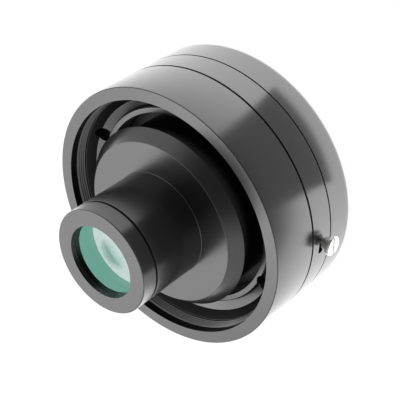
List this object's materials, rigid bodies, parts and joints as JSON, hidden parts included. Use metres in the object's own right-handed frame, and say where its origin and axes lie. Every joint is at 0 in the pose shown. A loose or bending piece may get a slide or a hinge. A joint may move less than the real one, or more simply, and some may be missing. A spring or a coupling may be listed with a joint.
{
  "type": "teleconverter",
  "caption": "Short black drum with a long lens nose inside an open skirt: an extender that couples a spotting scope to its eyepiece, with a sliding release stud.",
  "frame": {"origin": "centre of the rear face, on the optical axis", "axes": "+Z along the optical axis towards the nose; +X towards the release stud"},
  "size_m": [0.065, 0.062, 0.0468],
  "materials": {
    "black_anodised": "satin black anodised",
    "matt_black": "matt black",
    "polished_steel": "turned and polished",
    "black_steel": "blackened",
    "spring_steel": "drawn",
    "plated_steel": "satin plated",
    "brass_ring": "turned",
    "coated_glass": "polished, green coated",
    "seal_rubber": "moulded"
  },
  "bodies": {
    "housing": {"front_skirt": "black_anodised", "seat_ring": "black_anodised", "ring_retainer": "black_anodised", "main_housing": "black_anodised", "nose_flange": "black_anodised", "nose_tube": "black_anodised", "nose_cap": "black_anodised", "baffle_tube": "matt_black", "lens_retainer": "matt_black", "rear_ring": "black_anodised", "front_crown_lens": "coated_glass", "front_flint_lens": "coated_glass", "rear_crown_lens": "coated_glass", "rear_flint_lens": "coated_glass", "front_lens_seal": "seal_rubber", "tube_grub_screws": "black_steel", "flange_screws": "black_steel", "housing_screws": "black_steel", "plate_screws": "polished_steel", "lock_spring": "spring_steel", "return_spring": "spring_steel", "bayonet_plate": "plated_steel", "bayonet_springs": "spring_steel"},
    "release": {"release_ring": "brass_ring", "release_stud": "polished_steel"},
    "pin": {"lock_pin": "polished_steel"}
  },
  "joints": [
    {"name": "release_turn", "type": "hinge", "parent": "housing", "child": "release", "pos_m": [0, 0, 0.0115], "axis": [0, 0, 1], "range_deg": [-4.5, 0], "stiffness_Nm_per_rad": 0.4, "springref_deg": 3.44, "deforming": ["return_spring"]},
    {"name": "lock_pin_slide", "type": "slide", "parent": "housing", "child": "pin", "axis": [0, 0, 1], "range_m": [0, 0.0014], "deforming": ["lock_spring"]}
  ],
  "couplings": [
    {"joint": "lock_pin_slide", "follows": "release_turn", "m_per_rad": -0.017825}
  ]
}
